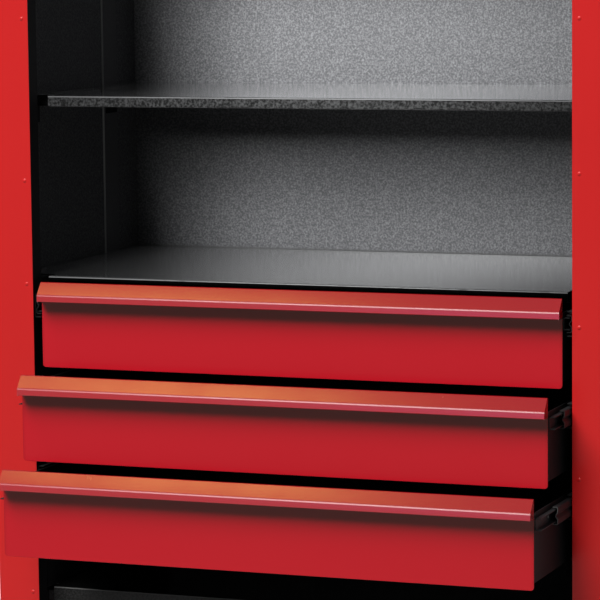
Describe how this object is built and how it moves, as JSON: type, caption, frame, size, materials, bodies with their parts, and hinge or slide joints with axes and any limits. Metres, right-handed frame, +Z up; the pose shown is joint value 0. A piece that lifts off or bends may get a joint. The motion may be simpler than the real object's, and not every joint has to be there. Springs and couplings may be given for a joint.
{
  "type": "drawer cabinet",
  "caption": "Tall open-fronted sheet-steel workshop cabinet: shelves above, lip-handled drawers on telescopic rails below, double-walled sides, plinth and wide front stiles.",
  "frame": {"origin": "on the floor under the middle of the cabinet's body", "axes": "+Z up, +X to the right seen from the front, +Y to the back; the drawers open towards -Y"},
  "size_m": [0.95, 0.656, 1.95],
  "materials": {
    "red_paint": "smooth gloss red powder coat",
    "black_texture": "fine-textured black powder coat",
    "black_paint": "smooth satin black powder coat",
    "rail_steel": "black-passivated rolled steel",
    "zinc_steel": "bright zinc plate"
  },
  "bodies": {
    "cabinet": {"back_panel": "black_texture", "bay_brackets": "black_paint", "bay_floor": "black_paint", "ceiling_panel": "black_paint", "cheek_rivets": "zinc_steel", "deck_plate": "black_paint", "drawer_1_left_cabinet_rail": "rail_steel", "drawer_1_right_cabinet_rail": "rail_steel", "drawer_2_left_cabinet_rail": "rail_steel", "drawer_2_right_cabinet_rail": "rail_steel", "drawer_3_left_cabinet_rail": "rail_steel", "drawer_3_right_cabinet_rail": "rail_steel", "floor_panel": "black_paint", "left_bay_cheek": "black_paint", "left_front_post": "black_paint", "left_rear_strip": "black_texture", "left_side_panel": "red_paint", "left_stile_rivets": "red_paint", "left_wall_liner": "black_texture", "plinth": "red_paint", "right_bay_cheek": "black_paint", "right_front_post": "black_paint", "right_rear_strip": "black_texture", "right_side_panel": "red_paint", "right_stile_rivets": "red_paint", "right_wall_liner": "black_texture", "shelf_1": "black_texture", "shelf_1_brackets": "black_paint", "shelf_2": "black_texture", "shelf_2_brackets": "black_paint", "top_cap": "red_paint"},
    "drawer_1": {"drawer_1_front": "red_paint", "drawer_1_tray": "black_paint", "drawer_1_left_drawer_rail": "rail_steel", "drawer_1_right_drawer_rail": "rail_steel", "drawer_1_rail_rivets": "zinc_steel", "drawer_1_front_nuts": "zinc_steel"},
    "drawer_1_left_middle_rail": {"drawer_1_left_middle_rail": "rail_steel"},
    "drawer_1_right_middle_rail": {"drawer_1_right_middle_rail": "rail_steel"},
    "drawer_2": {"drawer_2_front": "red_paint", "drawer_2_tray": "black_paint", "drawer_2_left_drawer_rail": "rail_steel", "drawer_2_right_drawer_rail": "rail_steel", "drawer_2_rail_rivets": "zinc_steel", "drawer_2_front_nuts": "zinc_steel"},
    "drawer_2_left_middle_rail": {"drawer_2_left_middle_rail": "rail_steel"},
    "drawer_2_right_middle_rail": {"drawer_2_right_middle_rail": "rail_steel"},
    "drawer_3": {"drawer_3_front": "red_paint", "drawer_3_tray": "black_paint", "drawer_3_left_drawer_rail": "rail_steel", "drawer_3_right_drawer_rail": "rail_steel", "drawer_3_rail_rivets": "zinc_steel", "drawer_3_front_nuts": "zinc_steel"},
    "drawer_3_left_middle_rail": {"drawer_3_left_middle_rail": "rail_steel"},
    "drawer_3_right_middle_rail": {"drawer_3_right_middle_rail": "rail_steel"}
  },
  "joints": [
    {"name": "drawer_1_slide", "type": "slide", "parent": "cabinet", "child": "drawer_1", "axis": [0, -1, 0], "range_m": [0, 0.4]},
    {"name": "drawer_1_left_rail_slide", "type": "slide", "parent": "cabinet", "child": "drawer_1_left_middle_rail", "axis": [0, -1, 0], "range_m": [0, 0.2]},
    {"name": "drawer_1_right_rail_slide", "type": "slide", "parent": "cabinet", "child": "drawer_1_right_middle_rail", "axis": [0, -1, 0], "range_m": [0, 0.2]},
    {"name": "drawer_2_slide", "type": "slide", "parent": "cabinet", "child": "drawer_2", "axis": [0, -1, 0], "range_m": [-0.072, 0.328]},
    {"name": "drawer_2_left_rail_slide", "type": "slide", "parent": "cabinet", "child": "drawer_2_left_middle_rail", "axis": [0, -1, 0], "range_m": [-0.036, 0.164]},
    {"name": "drawer_2_right_rail_slide", "type": "slide", "parent": "cabinet", "child": "drawer_2_right_middle_rail", "axis": [0, -1, 0], "range_m": [-0.036, 0.164]},
    {"name": "drawer_3_slide", "type": "slide", "parent": "cabinet", "child": "drawer_3", "axis": [0, -1, 0], "range_m": [-0.139, 0.261]},
    {"name": "drawer_3_left_rail_slide", "type": "slide", "parent": "cabinet", "child": "drawer_3_left_middle_rail", "axis": [0, -1, 0], "range_m": [-0.0695, 0.1305]},
    {"name": "drawer_3_right_rail_slide", "type": "slide", "parent": "cabinet", "child": "drawer_3_right_middle_rail", "axis": [0, -1, 0], "range_m": [-0.0695, 0.1305]}
  ],
  "couplings": [
    {"joint": "drawer_1_left_rail_slide", "follows": "drawer_1_slide", "ratio": 0.5},
    {"joint": "drawer_1_right_rail_slide", "follows": "drawer_1_slide", "ratio": 0.5},
    {"joint": "drawer_2_left_rail_slide", "follows": "drawer_2_slide", "ratio": 0.5},
    {"joint": "drawer_2_right_rail_slide", "follows": "drawer_2_slide", "ratio": 0.5},
    {"joint": "drawer_3_left_rail_slide", "follows": "drawer_3_slide", "ratio": 0.5},
    {"joint": "drawer_3_right_rail_slide", "follows": "drawer_3_slide", "ratio": 0.5}
  ]
}
